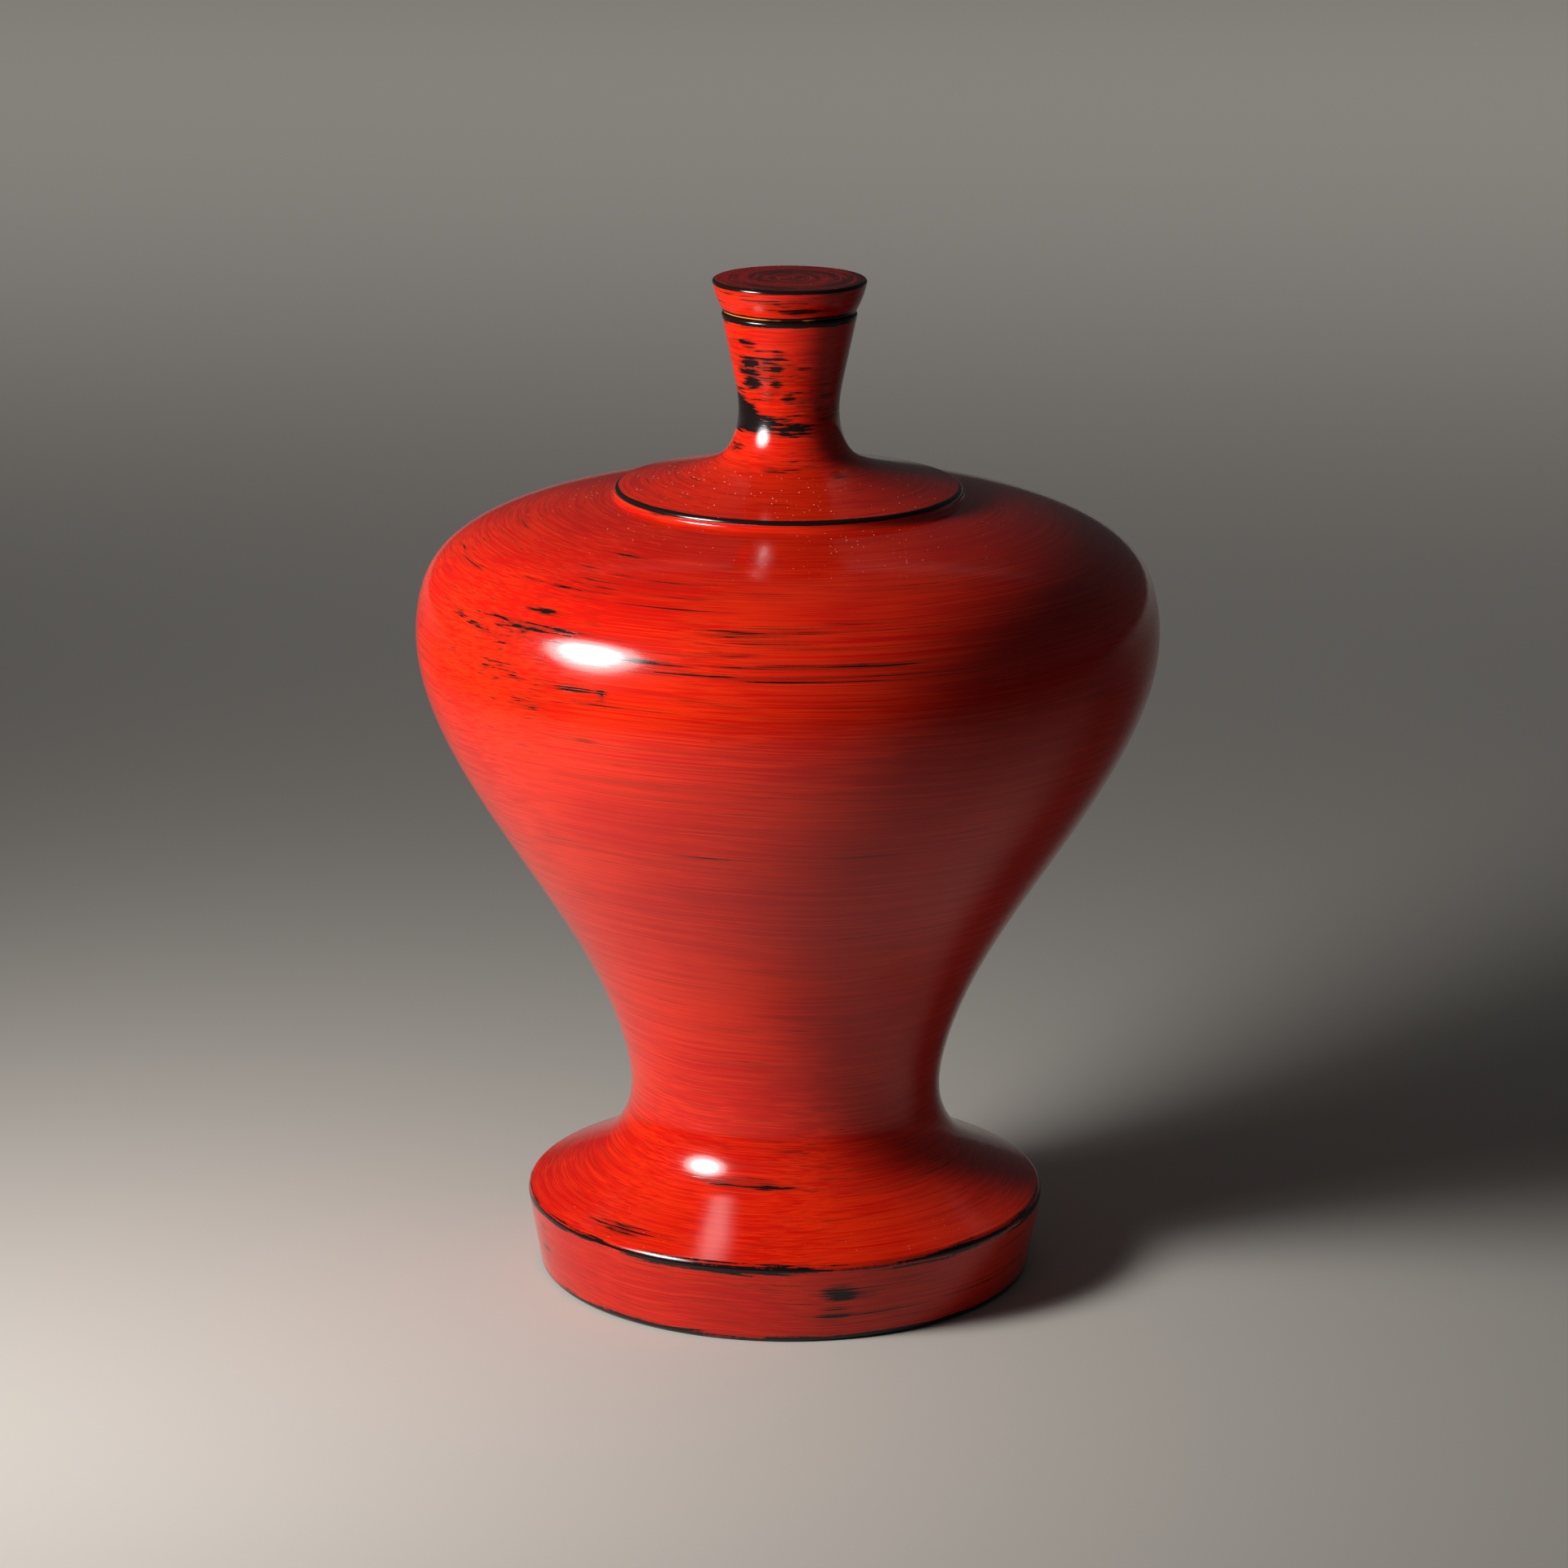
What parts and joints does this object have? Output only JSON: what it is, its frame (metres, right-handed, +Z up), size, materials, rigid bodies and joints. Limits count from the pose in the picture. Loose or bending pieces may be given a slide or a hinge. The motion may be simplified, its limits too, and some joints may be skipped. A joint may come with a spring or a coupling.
{
  "type": "lacquered sake bottle",
  "caption": "Turned wooden sake bottle in red lacquer: waisted foot, broad shoulder, collared neck and lift-out stopper.",
  "frame": {"origin": "centre of the foot's resting plane, on the turning axis", "axes": "+Z up along the turning axis, from the foot to the mouth; X and Y are free, because the bottle is a solid of revolution"},
  "size_m": [0.2405, 0.2405, 0.33],
  "materials": {
    "red_lacquer": "gloss vermilion lacquer over black lacquer, worn through at the edges",
    "stopper_lacquer": "vermilion lacquer over black lacquer, with a duller top"
  },
  "bodies": {
    "bottle": {"foot": "red_lacquer", "belly": "red_lacquer", "shoulder": "red_lacquer", "collar": "red_lacquer", "neck": "red_lacquer"},
    "stopper": {"stopper": "stopper_lacquer"}
  },
  "joints": [
    {"name": "stopper_lift", "type": "slide", "parent": "bottle", "child": "stopper", "axis": [0, 0, 1], "range_m": [0, 0.08]}
  ]
}
